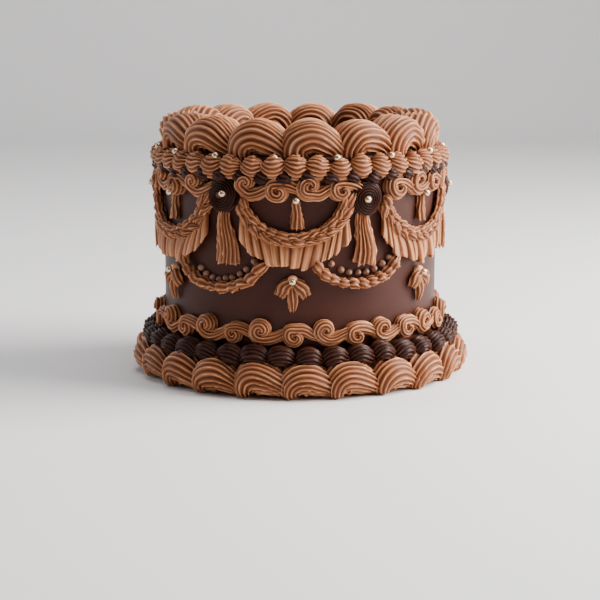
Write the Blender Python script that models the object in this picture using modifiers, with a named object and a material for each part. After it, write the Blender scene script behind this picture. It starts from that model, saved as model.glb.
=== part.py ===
"""A tall round chocolate cake with vintage piped buttercream.

Metres, +Z up. The origin is on the cake's axis at the foot of its body.
Angles are in degrees, from the front (-Y) towards the right (+X).
"""

import math
import random

import bmesh
import bpy
from mathutils import Matrix, Vector

# Body
BODY_RADIUS = 0.0808
BODY_HEIGHT = 0.134
TURNED_STEPS = 48
GAP = 0.0003
WALL = BODY_RADIUS + GAP
RING_GAP = 0.0006

# Swirls on the top rim
SWIRL_COUNT = 15
SWIRL_PHASE = -10.6
SWIRL_NOTCH = 0.6
SWIRL_RING = 0.0685
SWIRL_HALF_OUT = 0.0160
SWIRL_RISE = 0.0208
SWIRL_RIDGES = 5
SWIRL_GROOVE = 0.10
SWIRL_COLUMNS = ((0.0, 0.72, 0.40, 0.0), (0.10, 0.96, 0.76, 0.0), (0.33, 1.0, 1.0, 0.0),
                 (0.62, 0.98, 0.97, 0.0), (0.87, 0.84, 0.70, 0.0))
SWIRL_FACES = 2600
RIM_PEARL_RING = 0.0812
RIM_PEARL_HEIGHT = 0.1368

# Rows of shells and scrolls. A column of a shell is its share of the pitch, how far it
# swells outwards and upwards, and its lift.
UNEVENNESS = 0.03
SHELL_COLUMNS = ((0.08, 1.0, 1.0, 0.0003), (0.86, 0.72, 0.74, -0.0004))
FOOT_COLUMNS = ((0.03, 0.86, 0.84, -0.0010), (0.28, 1.0, 1.0, 0.0), (0.90, 0.84, 0.80, -0.0012))
SCROLL_COLUMNS = ((0.0, 1.0, 1.0, 1.0), (0.16, 0.84, 0.86, 0.62), (0.36, 0.66, 0.58, -0.45),
                  (0.5, 1.0, 1.0, -1.0), (0.66, 0.84, 0.86, -0.62), (0.86, 0.66, 0.58, 0.45))
RIM_SHELL_COUNT = 42
RIM_PHASE = 3.4
RIM_SHELL_HEIGHT = 0.128
RIM_SHELL_SIZE = 0.0070
RIM_SHELL_DEPTH = 0.0066
RIM_DARK_PHASE = 0.2
RIM_DARK_HEIGHT = 0.1219
RIM_DARK_SIZE = 0.0048
RIM_DARK_DEPTH = 0.0063
RIM_FACES = 2000
SCROLL_COUNT = 30
SCROLL_SWING = 0.0030
SCROLL_DEPTH = 0.0060
SCROLL_FACES = 1600
UPPER_SCROLL_HEIGHT = 0.1158
UPPER_SCROLL_PHASE = 4.0
UPPER_SCROLL_SIZE = 0.0060
SCROLL_BACK = 0.0838
SCROLL_LOW = 0.1068
LOWER_SCROLL_HEIGHT = 0.0346
LOWER_SCROLL_PHASE = 9.9
LOWER_SCROLL_SIZE = 0.0066
DARK_SHELL_COUNT = 37
DARK_SHELL_PHASE = -1.2
DARK_SHELL_HEIGHT = 0.0212
DARK_SHELL_SIZE = 0.0060
DARK_SHELL_DEPTH = 0.0129
FOOT_SHELL_COUNT = 22
FOOT_SHELL_PHASE = -6.6
FOOT_SHELL_HEIGHT = 0.0095
FOOT_SHELL_SIZE = 0.0112
FOOT_SHELL_DEPTH = 0.0226
FOOT_FACES = 2600
FOOT_OUTER = 0.1030

# Seams between neighbouring rings, each a line of (radius, height) from the wall outwards
FOOT_LINE = ((WALL, 0.0), (FOOT_OUTER, 0.0))
FOOT_SEAM = ((WALL, 0.0150), (0.0905, 0.0186), (0.0925, 0.0215), (FOOT_OUTER, 0.0215))
DARK_SEAM = ((WALL, 0.0240), (0.0880, 0.0268), (0.0960, 0.0285))
LOWER_SCROLL_LINE = ((WALL, 0.0450), (0.0960, 0.0450))
UPPER_SCROLL_LINE = ((WALL, 0.1062), (0.0900, 0.1062))
SCROLL_SEAM = ((WALL, 0.1175), (0.0900, 0.1226))
RIM_SEAM = ((WALL, 0.1223), (0.0900, 0.1252))
RIM_LINE = ((WALL, BODY_HEIGHT - GAP), (0.0900, BODY_HEIGHT - GAP))
SWIRL_FLOOR = ((0.0500, BODY_HEIGHT + GAP - RING_GAP), (0.0900, BODY_HEIGHT + GAP - RING_GAP))
SWIRL_ROOF = ((0.0500, 0.1580), (0.0900, 0.1580))

# Rosettes, with the hand-piped swags hung between them
ROSETTE_ANGLES = (-91.0, -31.0, 26.0, 86.0, 148.0, 209.0)
ROSETTE_HEIGHT = 0.1113
ROSETTE_RADIUS = 0.0096
ROSETTE_REACH = 0.0885
ROSETTE_SEAT = 0.0826
ROSETTE_TURNS = 1.0
ROSETTE_RIDGE = 0.09
ROSETTE_SIDES = 10
ROSETTE_RINGS = 8
ROSETTE_FACES = 400
PEARL_RADIUS = 0.0023
TASSEL_TOP = 0.1035
TASSEL_BOTTOM = 0.0750
TASSEL_HALF_WIDTHS = (0.0040, 0.0073)
TASSEL_RIDGES = 7
TASSEL_FLATNESS = 0.62
TASSEL_FACES = 80
FLUTE = 0.78
SWAG_TOP = 0.113
SWAG_LOW = 0.0875
SWAG_END = 0.1035
SWAG_MARGIN = 7.5
SWAG_BEADS = 10
SWAG_SIZE = 0.0027
SWAG_RING = 0.0829
SWAG_FACES = 250
RUFFLE_PLEATS = 13
RUFFLE_DROP = 0.0150
RUFFLE_DROP_AT_ENDS = 0.0205
RUFFLE_REACH = 21.6
RUFFLE_THICKNESS = 0.0030
RUFFLE_FOLDS = (-0.0003, 0.0009)
LOOPED_ROSETTES = (2, 3, 5, 6)
LOOP_HALF_SPAN = 17.5
LOOP_REACH = 0.97
LOOP_TOP = 0.073
LOOP_LOW = 0.0605
LOOP_BEADS = 8
LOOP_SIZE = 0.0033
LOOP_DEPTH = 1.35
LOOP_FACES = 220

# Cutters that make room for a rosette or a drop, and the ledge a rosette rests on
PAST_ENDS = 0.010
PEG_INSIDE = 0.075
PEG_OUTSIDE = 0.100
SEAT_BITE = 0.0009
LEDGE_TOP = 0.130
LEDGE_INSIDE = 0.078
DROP_ROOM = 0.0034
DROP_ROOM_LIFT = 0.0015
DOT_COUNT = 8
DOT_RADIUS = 0.0020
DOT_HALF_SPAN = 13.0
DOT_TOP = 0.0755
DOT_SAG = 0.0105
DOT_SPREAD = 0.94
BODY_FACES = 1500

# Small motifs in the middle of each swag
DROP_TOP = 0.1075
DROP_BOTTOM = 0.0956
DROP_HALF_WIDTHS = (0.0024, 0.0040)
DROP_FLATNESS = 0.70
DROP_FACES = 60
FLEUR_HEIGHT = 0.0635
FLEUR_LOW = 0.0480
FLEUR_HALF_WIDTHS = (0.0019, 0.0040)
FLEUR_LEAN = 62.0
FLEUR_SIDE = 0.0100
FLEUR_FLATNESS = 0.75
FLEUR_FACES = 140

LIGHT = ("milk_buttercream", (0.34, 0.17, 0.10), 0.5, 0.0)
DARK = ("dark_buttercream", (0.045, 0.022, 0.016), 0.45, 0.0)
BODY = ("body_buttercream", (0.065, 0.032, 0.024), 0.5, 0.0)


def clear_scene():
    for item in list(bpy.data.objects):
        bpy.data.objects.remove(item)


def new_collection(name):
    group = bpy.data.collections.new(name)
    bpy.context.scene.collection.children.link(group)
    return group


def paint(item, look):
    """Give an object a Principled material of its own."""
    name, colour, roughness, metallic = look
    material = bpy.data.materials.new(item.name + "_" + name)
    material.use_nodes = True
    shader = material.node_tree.nodes["Principled BSDF"]
    shader.inputs["Base Color"].default_value = (*colour, 1.0)
    shader.inputs["Roughness"].default_value = roughness
    shader.inputs["Metallic"].default_value = metallic
    item.data.materials.clear()
    item.data.materials.append(material)


def at(angle, radius, height):
    """Point at an angle from the front, a radius from the axis and a height."""
    turn = math.radians(angle)
    return Vector((radius * math.sin(turn), -radius * math.cos(turn), height))


def facing(angle, radius, height):
    """Frame on the wall: X along the wall to the right, -Y outwards, Z up."""
    turn = Matrix.Rotation(math.radians(angle), 4, "Z")
    return Matrix.Translation(at(angle, radius, height)) @ turn


def mesh_object(name, work, group):
    """Object from a bmesh, with its faces pointing out."""
    bmesh.ops.recalc_face_normals(work, faces=work.faces)
    data = bpy.data.meshes.new(name)
    work.to_mesh(data)
    work.free()
    item = bpy.data.objects.new(name, data)
    group.objects.link(item)
    return item


def nozzle(ridges, groove, outward, upward, start, stop, group):
    """Opening of a star nozzle as a flat curve: ridges over an arc, flat elsewhere."""
    data = bpy.data.curves.new("nozzle", "CURVE")
    data.dimensions = "2D"
    spline = data.splines.new("POLY")
    count = 2 * ridges - 1
    spline.points.add(count - 1)
    for step, knot in enumerate(spline.points):
        angle = math.radians(start + (stop - start) * step / (count - 1))
        size = 1.0 if step % 2 == 0 else 1.0 - groove
        knot.co = (outward * size * math.cos(angle), upward * size * math.sin(angle), 0.0, 1.0)
    spline.use_cyclic_u = True
    item = bpy.data.objects.new("nozzle", data)
    item.hide_render = True
    item.display_type = "WIRE"
    group.objects.link(item)
    return item


def stroke(name, stations, profile, group, twist="Z_UP"):
    """Mesh piped through stations of (point, size) with a nozzle's profile."""
    data = bpy.data.curves.new(name, "CURVE")
    data.dimensions = "3D"
    data.twist_mode = twist
    data.bevel_mode = "OBJECT"
    data.bevel_object = profile
    data.use_fill_caps = True
    spline = data.splines.new("POLY")
    spline.points.add(len(stations) - 1)
    for knot, (point, size) in zip(spline.points, stations):
        knot.co = (*point, 1.0)
        knot.radius = size
    curve = bpy.data.objects.new(name, data)
    group.objects.link(curve)
    bpy.context.view_layer.update()
    drawn = curve.evaluated_get(bpy.context.evaluated_depsgraph_get())
    piped = bpy.data.meshes.new_from_object(drawn)
    work = bmesh.new()
    work.from_mesh(piped)
    bmesh.ops.remove_doubles(work, verts=work.verts, dist=1e-6)
    item = mesh_object(name, work, group)
    item.matrix_world = curve.matrix_world
    bpy.data.objects.remove(curve)
    bpy.data.meshes.remove(piped)
    return item


def turned(name, outline, group, steps=TURNED_STEPS):
    """Ring turned from an outline that runs down its outer side and back up inside."""
    data = bpy.data.meshes.new(name)
    points = [(radius, 0.0, height) for radius, height in outline]
    edges = [(index, (index + 1) % len(points)) for index in range(len(points))]
    data.from_pydata(points, edges, [])
    item = bpy.data.objects.new(name, data)
    group.objects.link(item)
    screw = item.modifiers.new("turn", "SCREW")
    screw.steps = steps
    screw.render_steps = steps
    screw.use_merge_vertices = True
    screw.merge_threshold = 0.00001
    apply_modifiers(item)
    return item


def fluted_arc(centre, half_out, half_up, start, stop, ridges, groove):
    """Outline from a high angle down to a low one, in and out once for each ridge."""
    outline = []
    for index in range(2 * ridges + 1):
        turn = math.radians(start + (stop - start) * index / (2 * ridges))
        reach = 1.0 if index % 2 else 1.0 - groove
        outline.append((centre[0] + half_out * reach * math.cos(turn),
                        centre[1] + half_up * reach * math.sin(turn)))
    return outline


def seam_height(seam, radius):
    """Height of a seam between two rings, at a radius."""
    for (near, low), (far, high) in zip(seam, seam[1:]):
        if radius <= far:
            return low + (high - low) * max(0.0, radius - near) / (far - near)
    return seam[-1][1]


def shell_band(name, outline, count, phase, columns, centre, seams, group):
    """Ring of shells nose to tail: an outline turned in columns and swelled in each.

    A column has its share of the pitch, how far it swells outwards and upwards from
    the centre of the outline, and its lift. The ring stays between its two seams.
    """
    draw = random.Random(name)
    sizes = [draw.uniform(1.0 - UNEVENNESS, 1.0 + UNEVENNESS) for _ in range(count)]
    steps = count * len(columns)
    item = turned(name, outline, group, steps)
    for vertex in item.data.vertices:
        turn = math.degrees(math.atan2(vertex.co.y, vertex.co.x))
        shell, column = divmod(round(turn * steps / 360.0) % steps, len(columns))
        share, wide, tall, lift = columns[column]
        reach = math.hypot(vertex.co.x, vertex.co.y) - centre[0]
        radius = centre[0] + reach * wide * sizes[shell]
        if centre[0] == WALL and reach < GAP:
            share = column / len(columns)
        height = centre[1] + (vertex.co.z - centre[1]) * tall * sizes[shell] + lift
        low = seam_height(seams[0], radius)
        low += RING_GAP if low > 0.0 else 0.0
        height = max(low, min(height, seam_height(seams[1], radius)))
        vertex.co = at(phase + 360.0 * (shell + share) / count, radius, height)
    return item


def cylinder(name, radius, low, high, steps, group):
    work = bmesh.new()
    bmesh.ops.create_cone(work, cap_ends=True, segments=steps, radius1=radius, radius2=radius,
                          depth=high - low)
    bmesh.ops.translate(work, verts=work.verts, vec=(0.0, 0.0, (low + high) / 2))
    return mesh_object(name, work, group)


def peg(name, place, radius, inside, outside, steps, group):
    """Cylinder that stands out of the wall at a place (angle, height)."""
    angle, height = place
    work = bmesh.new()
    bmesh.ops.create_cone(work, cap_ends=True, segments=steps, radius1=radius, radius2=radius,
                          depth=outside - inside)
    frame = facing(angle, (inside + outside) / 2, height) @ Matrix.Rotation(math.pi / 2, 4, "X")
    bmesh.ops.transform(work, matrix=frame, verts=work.verts)
    return mesh_object(name, work, group)


def rosette_room(angle, inside, group):
    """Peg that clears a rosette out of its neighbours."""
    return peg("room", (angle, ROSETTE_HEIGHT), ROSETTE_RADIUS + GAP, inside, PEG_OUTSIDE, 20, group)


def pearl(name, angle, radius, height, group, size=PEARL_RADIUS):
    work = bmesh.new()
    bmesh.ops.create_icosphere(work, subdivisions=1, radius=size)
    bmesh.ops.transform(work, matrix=facing(angle, radius, height), verts=work.verts)
    return mesh_object(name, work, group)


def fluted_cone(name, frame, length, half_widths, ridges, flatness, group):
    """Fluted taper that hangs down from a frame, flattened towards the wall."""
    top_half, bottom_half = half_widths
    work = bmesh.new()
    bmesh.ops.create_cone(work, cap_ends=True, segments=2 * ridges, radius1=bottom_half,
                          radius2=top_half, depth=length)
    for index, vertex in enumerate(work.verts):
        if (index // 2) % 2:
            vertex.co.x *= FLUTE
            vertex.co.y *= FLUTE
    hang = frame @ Matrix.Translation((0.0, 0.0, -length / 2)) @ Matrix.Diagonal((1.0, flatness, 1.0, 1.0))
    bmesh.ops.transform(work, matrix=hang, verts=work.verts)
    return mesh_object(name, work, group)


def apply_modifiers(item):
    bpy.context.view_layer.update()
    shaped = item.evaluated_get(bpy.context.evaluated_depsgraph_get())
    data = bpy.data.meshes.new_from_object(shaped)
    item.modifiers.clear()
    item.data = data


def boolean(item, operation, other):
    change = item.modifiers.new(operation.lower(), "BOOLEAN")
    change.operation = operation
    change.solver = "MANIFOLD"
    if isinstance(other, bpy.types.Collection):
        change.operand_type = "COLLECTION"
        change.collection = other
    else:
        change.object = other


def islands(work):
    """Connected groups of vertices, the largest first."""
    left = set(work.verts)
    groups = []
    while left:
        front = [left.pop()]
        group = set(front)
        while front:
            for edge in front.pop().link_edges:
                for vertex in edge.verts:
                    if vertex in left:
                        left.remove(vertex)
                        group.add(vertex)
                        front.append(vertex)
        groups.append(group)
    return sorted(groups, key=len, reverse=True)


def drop_scraps(item):
    """Keep the one main body of a mesh and clean its edges."""
    work = bmesh.new()
    work.from_mesh(item.data)
    bmesh.ops.remove_doubles(work, verts=work.verts, dist=5e-7)
    for scrap in islands(work)[1:]:
        bmesh.ops.delete(work, geom=list(scrap), context="VERTS")
    bmesh.ops.dissolve_degenerate(work, edges=work.edges, dist=5e-7)
    bmesh.ops.triangulate(work, faces=work.faces)
    work.to_mesh(item.data)
    work.free()


def thin_out(item, faces):
    """Collapse the slivers that joining leaves, but not on the side towards the body."""
    if len(item.data.polygons) <= faces:
        return
    free = item.vertex_groups.new(name="free")
    loose = [vertex.index for vertex in item.data.vertices
             if math.hypot(vertex.co.x, vertex.co.y) > WALL + 0.00005
             or vertex.co.z > BODY_HEIGHT + 0.0004]
    free.add(loose, 1.0, "REPLACE")
    change = item.modifiers.new("thin", "DECIMATE")
    change.ratio = faces / len(item.data.polygons)
    change.vertex_group = free.name
    apply_modifiers(item)
    drop_scraps(item)


def fuse(name, pieces, look, model, faces, keep=None, cuts=()):
    """Join pieces into one solid, keep what lies in a slot and cut the rest away."""
    item = pieces[0]
    crowd = new_collection(name + "_pieces")
    for piece in pieces[1:]:
        for group in list(piece.users_collection):
            group.objects.unlink(piece)
        crowd.objects.link(piece)
    for group in list(item.users_collection):
        group.objects.unlink(item)
    model.objects.link(item)
    item.name = name
    if crowd.objects:
        boolean(item, "UNION", crowd)
    apply_modifiers(item)
    for piece in list(crowd.objects):
        bpy.data.objects.remove(piece)
    bpy.data.collections.remove(crowd)
    flatten_placing(item)
    drop_scraps(item)
    if keep:
        boolean(item, "INTERSECT", keep)
    for cut in cuts:
        boolean(item, "DIFFERENCE", cut)
    apply_modifiers(item)
    drop_scraps(item)
    thin_out(item, faces)
    paint(item, look)
    item.data.shade_smooth()
    item.data.set_sharp_from_angle(angle=math.radians(40.0))
    return item


def flatten_placing(item):
    """Write an object's placing into its mesh."""
    item.data.transform(item.matrix_basis)
    item.matrix_basis = Matrix.Identity(4)


def middles():
    """Angles half-way between neighbouring rosettes, and half of each span."""
    result = []
    for index, angle in enumerate(ROSETTE_ANGLES):
        after = ROSETTE_ANGLES[(index + 1) % len(ROSETTE_ANGLES)]
        span = (after - angle) % 360.0
        result.append((angle + span / 2, span / 2))
    return result


def swag_height(offset, half_span):
    """Height of the middle of a swag's rope at an angle from its low point."""
    reach = min(1.0, abs(offset) / half_span)
    return SWAG_TOP - (SWAG_TOP - SWAG_LOW) * math.sqrt(1.0 - reach * reach)


def make_body(model, shop):
    """Plain cylinder, with a row of dots over each loop."""
    body = cylinder("cake_body", BODY_RADIUS, 0.0, BODY_HEIGHT, TURNED_STEPS, shop)
    dots = []
    for number in LOOPED_ROSETTES:
        place = ROSETTE_ANGLES[number - 1]
        for index in range(DOT_COUNT):
            side = 2.0 * index / (DOT_COUNT - 1) - 1.0
            height = DOT_TOP - DOT_SAG * math.sqrt(1.0 - DOT_SPREAD * side * side)
            dots.append(dot(place + DOT_HALF_SPAN * side, height, shop))
    fuse("cake_body", [body] + dots, BODY, model, BODY_FACES)


def dot(angle, height, group):
    """Small pointed bead on the wall."""
    work = bmesh.new()
    bmesh.ops.create_cone(work, cap_ends=True, segments=6, radius1=DOT_RADIUS, radius2=0.0,
                          depth=2.0 * DOT_RADIUS)
    place = facing(angle, BODY_RADIUS, height) @ Matrix.Rotation(math.pi / 2, 4, "X")
    bmesh.ops.transform(work, matrix=place, verts=work.verts)
    return mesh_object("dot", work, group)


def make_top_swirls(model, shop):
    """Fat arches nose to tail with level ridges, and a pearl in each notch."""
    centre = (SWIRL_RING, BODY_HEIGHT + GAP)
    outline = fluted_arc(centre, SWIRL_HALF_OUT, SWIRL_RISE, 180.0, 0.0, SWIRL_RIDGES, SWIRL_GROOVE)
    swirls = shell_band("swirls", outline, SWIRL_COUNT, SWIRL_PHASE, SWIRL_COLUMNS, centre,
                        (SWIRL_FLOOR, SWIRL_ROOF), shop)
    pearls = []
    for index in range(SWIRL_COUNT):
        angle = SWIRL_PHASE + SWIRL_NOTCH + 360.0 * index / SWIRL_COUNT
        pearls.append(pearl("rim_pearl", angle, RIM_PEARL_RING, RIM_PEARL_HEIGHT, shop))
    fuse("top_swirls", [swirls] + pearls, LIGHT, model, SWIRL_FACES)


def make_rim_shells(model, shop, pegs):
    """Row of short shells with level ridges, just under the rim."""
    centre = (WALL, RIM_SHELL_HEIGHT)
    outline = fluted_arc(centre, RIM_SHELL_DEPTH, RIM_SHELL_SIZE, 90.0, -90.0, 3, 0.12)
    shells = shell_band("rim_shells", outline, RIM_SHELL_COUNT, RIM_PHASE, SHELL_COLUMNS, centre,
                        (RIM_SEAM, RIM_LINE), shop)
    fuse("rim_shells", [shells], LIGHT, model, RIM_FACES, None, pegs)


def make_rim_dark_shells(model, shop, pegs):
    """Row of small dark shells that shows under and between the light ones."""
    centre = (WALL, RIM_DARK_HEIGHT)
    outline = fluted_arc(centre, RIM_DARK_DEPTH, RIM_DARK_SIZE, 90.0, -90.0, 2, 0.08)
    shells = shell_band("rim_dark_shells", outline, RIM_SHELL_COUNT, RIM_DARK_PHASE, SHELL_COLUMNS,
                        centre, (SCROLL_SEAM, RIM_SEAM), shop)
    fuse("rim_dark_shells", [shells], DARK, model, RIM_FACES, None, pegs)


def scroll_band(name, height, size, phase, seams, shop):
    """Winding ridged band with a fat curl at every turn, up and down in turn."""
    centre = (WALL, height)
    outline = fluted_arc(centre, SCROLL_DEPTH, size, 90.0, -90.0, 2, 0.14)
    columns = [(share, wide, tall, lift * SCROLL_SWING) for share, wide, tall, lift in SCROLL_COLUMNS]
    return shell_band(name, outline, SCROLL_COUNT // 2, phase, columns, centre, seams, shop)


def make_upper_scroll(model, shop, pegs):
    band = scroll_band("upper_scroll", UPPER_SCROLL_HEIGHT, UPPER_SCROLL_SIZE, UPPER_SCROLL_PHASE,
                       (UPPER_SCROLL_LINE, SCROLL_SEAM), shop)
    fuse("upper_scroll", [band], LIGHT, model, SCROLL_FACES, None, pegs)


def make_lower_scroll(model, shop):
    band = scroll_band("lower_scroll", LOWER_SCROLL_HEIGHT, LOWER_SCROLL_SIZE, LOWER_SCROLL_PHASE,
                       (DARK_SEAM, LOWER_SCROLL_LINE), shop)
    fuse("lower_scroll", [band], LIGHT, model, SCROLL_FACES)


def make_dark_shells(model, shop):
    """Row of glossy dark shells between the foot shells and the lower scroll."""
    centre = (WALL, DARK_SHELL_HEIGHT)
    outline = fluted_arc(centre, DARK_SHELL_DEPTH, DARK_SHELL_SIZE, 90.0, -90.0, 2, 0.12)
    shells = shell_band("dark_shells", outline, DARK_SHELL_COUNT, DARK_SHELL_PHASE, SHELL_COLUMNS,
                        centre, (FOOT_SEAM, DARK_SEAM), shop)
    fuse("dark_shells", [shells], DARK, model, RIM_FACES)


def make_foot_shells(model, shop):
    """Row of fat shells round the foot, each tail under the next head."""
    centre = (WALL, FOOT_SHELL_HEIGHT)
    outline = fluted_arc(centre, FOOT_SHELL_DEPTH, FOOT_SHELL_SIZE, 90.0, -90.0, 4, 0.12)
    shells = shell_band("foot_shells", outline, FOOT_SHELL_COUNT, FOOT_SHELL_PHASE, FOOT_COLUMNS,
                        centre, (FOOT_LINE, FOOT_SEAM), shop)
    fuse("foot_shells", [shells], LIGHT, model, FOOT_FACES)


def make_rosette(name, angle, cuts, model, shop):
    """Dome with a ridge wound round it in a spiral, and a pearl at its middle."""
    work = bmesh.new()
    bmesh.ops.create_uvsphere(work, u_segments=ROSETTE_SIDES, v_segments=ROSETTE_RINGS, radius=1.0)
    for vertex in work.verts:
        polar = math.acos(max(-1.0, min(1.0, vertex.co.z)))
        turn = math.atan2(vertex.co.y, vertex.co.x)
        wound = math.cos(turn + 2.0 * ROSETTE_TURNS * 2.0 * polar)
        vertex.co *= 1.0 + ROSETTE_RIDGE * (wound - 1.0) * math.sin(polar)
    place = facing(angle, ROSETTE_SEAT, ROSETTE_HEIGHT) @ Matrix.Rotation(math.pi / 2, 4, "X")
    shape = Matrix.Diagonal((ROSETTE_RADIUS, ROSETTE_RADIUS, ROSETTE_REACH - ROSETTE_SEAT, 1.0))
    bmesh.ops.transform(work, matrix=place @ shape, verts=work.verts)
    dome = mesh_object(name, work, shop)
    bead = pearl("bead", angle, ROSETTE_REACH - 0.0002, ROSETTE_HEIGHT, shop)
    fuse(name, [dome, bead], DARK, model, ROSETTE_FACES, None, cuts)


def make_tassel(name, angle, wall, model, shop, pegs):
    frame = facing(angle, 0.0818, TASSEL_TOP)
    length = TASSEL_TOP - TASSEL_BOTTOM
    skirt = fluted_cone(name, frame, length, TASSEL_HALF_WIDTHS, TASSEL_RIDGES, TASSEL_FLATNESS,
                         shop)
    fuse(name, [skirt], LIGHT, model, TASSEL_FACES, None, [wall] + pegs)


def make_swag(name, middle, half_span, wall, model, shop, pegs):
    """Rope of small shells in a deep curve, with a pleated ruffle hung from it."""
    reach = half_span - SWAG_MARGIN
    last = reach * math.sqrt(1.0 - ((SWAG_TOP - SWAG_END) / (SWAG_TOP - SWAG_LOW)) ** 2)
    profile = nozzle(3, 0.0, 1.0, 1.0, -100.0, 100.0, shop)
    stations = []
    for index in range(2 * SWAG_BEADS + 1):
        offset = last * math.sin(math.pi / 2 * (index / SWAG_BEADS - 1.0))
        size = SWAG_SIZE * (1.12 if index % 2 else 0.82)
        height = swag_height(offset, reach)
        stations.append((at(middle + offset, SWAG_RING, height), size))
    rope = stroke(name, stations, profile, shop)
    ruffle = ruffle_sheet("ruffle", middle, reach, shop)
    fuse(name, [ruffle, rope], LIGHT, model, SWAG_FACES, None, [wall] + pegs)


def ruffle_sheet(name, middle, reach, shop):
    """Pleated strip from the rope down to a curved hem, as a thickened grid."""
    work = bmesh.new()
    columns = 2 * RUFFLE_PLEATS
    bmesh.ops.create_grid(work, x_segments=columns, y_segments=1, size=1.0)
    edge = min(RUFFLE_REACH, reach * 0.985)
    for vertex in work.verts:
        side = vertex.co.x
        column = round((side + 1.0) * columns / 2)
        share = abs(side)
        drop = RUFFLE_DROP + (RUFFLE_DROP_AT_ENDS - RUFFLE_DROP) * share * share
        height = swag_height(side * edge, reach) - (drop if vertex.co.y < 0 else 0.0)
        fold = RUFFLE_FOLDS[column % 2]
        vertex.co = at(middle + side * edge, SWAG_RING + fold, min(height, SWAG_END - 0.001))
    sheet = mesh_object(name, work, shop)
    shell = sheet.modifiers.new("thickness", "SOLIDIFY")
    shell.thickness = RUFFLE_THICKNESS
    shell.offset = 0.0
    apply_modifiers(sheet)
    return sheet


def make_loop(name, angle, model, shop):
    """Rope of small shells in a shallow curve under a rosette."""
    profile = nozzle(2, 0.10, LOOP_DEPTH, 1.0, -90.0, 90.0, shop)
    stations = []
    for index in range(2 * LOOP_BEADS + 1):
        side = math.sin(math.pi / 2 * (index / LOOP_BEADS - 1.0)) * LOOP_REACH
        height = LOOP_TOP - (LOOP_TOP - LOOP_LOW) * math.sqrt(1.0 - side * side)
        size = LOOP_SIZE * (1.08 if index % 2 else 0.80)
        stations.append((at(angle + LOOP_HALF_SPAN * side, WALL, height), size))
    rope = stroke(name, stations, profile, shop)
    fuse(name, [rope], LIGHT, model, LOOP_FACES)


def make_drop(name, middle, wall, model, shop):
    length = DROP_TOP - DROP_BOTTOM
    frame = facing(middle, 0.0820, DROP_TOP)
    skirt = fluted_cone(name, frame, length, DROP_HALF_WIDTHS, 5, DROP_FLATNESS, shop)
    bead = pearl("bead", middle, 0.0838, DROP_TOP + 0.0022, shop)
    fuse(name, [skirt, bead], LIGHT, model, DROP_FACES, None, [wall])


def make_fleur(name, middle, wall, model, shop):
    """Three short strokes fanned out from under a pearl."""
    frame = facing(middle, 0.0822, FLEUR_HEIGHT)
    petals = []
    middle_length = FLEUR_HEIGHT - FLEUR_LOW
    for lean, length in ((-FLEUR_LEAN, FLEUR_SIDE), (FLEUR_LEAN, FLEUR_SIDE), (0.0, middle_length)):
        tilt = Matrix.Rotation(math.radians(lean), 4, "Y")
        petals.append(fluted_cone("petal", frame @ tilt, length, FLEUR_HALF_WIDTHS, 5, FLEUR_FLATNESS,
                                   shop))
    bead = pearl("bead", middle, 0.0842, FLEUR_HEIGHT + 0.0012, shop, PEARL_RADIUS * 1.2)
    fuse(name, petals + [bead], LIGHT, model, FLEUR_FACES, None, [wall])


def main():
    clear_scene()
    model = new_collection("chocolate_cake")
    shop = new_collection("cutters")
    wall = cylinder("wall", WALL, -PAST_ENDS, BODY_HEIGHT + PAST_ENDS, TURNED_STEPS, shop)
    places = middles()
    seats = [rosette_room(angle, SCROLL_BACK - SEAT_BITE, shop) for angle in ROSETTE_ANGLES]
    rosette_pegs = [rosette_room(angle, PEG_INSIDE, shop) for angle in ROSETTE_ANGLES]
    ledge = turned("ledge", ((SCROLL_BACK + GAP, LEDGE_TOP), (SCROLL_BACK + GAP, SCROLL_LOW - GAP),
                             (LEDGE_INSIDE, SCROLL_LOW - GAP), (LEDGE_INSIDE, LEDGE_TOP)), shop)
    drop_pegs = [peg("drop_room", (middle, DROP_TOP + DROP_ROOM_LIFT), DROP_ROOM, PEG_INSIDE,
                     PEG_OUTSIDE, 8, shop) for middle, _ in places]
    make_body(model, shop)
    make_top_swirls(model, shop)
    make_rim_shells(model, shop, seats)
    make_rim_dark_shells(model, shop, seats)
    make_upper_scroll(model, shop, seats + drop_pegs)
    make_lower_scroll(model, shop)
    make_dark_shells(model, shop)
    make_foot_shells(model, shop)
    for index, angle in enumerate(ROSETTE_ANGLES):
        number = index + 1
        middle, half_span = places[index]
        before = rosette_pegs[index]
        after = rosette_pegs[(index + 1) % len(rosette_pegs)]
        make_rosette(f"rosette_{number}", angle, [wall, ledge], model, shop)
        make_tassel(f"tassel_{number}", angle, wall, model, shop, [before])
        make_swag(f"swag_{number}", middle, half_span, wall, model, shop, [before, after])
        if number in LOOPED_ROSETTES:
            make_loop(f"loop_{number}", angle, model, shop)
        make_drop(f"drop_{number}", middle, wall, model, shop)
        make_fleur(f"fleur_{number}", middle, wall, model, shop)
    for item in list(shop.objects):
        bpy.data.objects.remove(item)


main()
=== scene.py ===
"""Looks of a tall chocolate cake with vintage piped buttercream.

Shapes are worked out in millimetres and written to meshes in metres. Angles are
in degrees from the front (-Y), turning towards +X.
"""
import math

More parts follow.
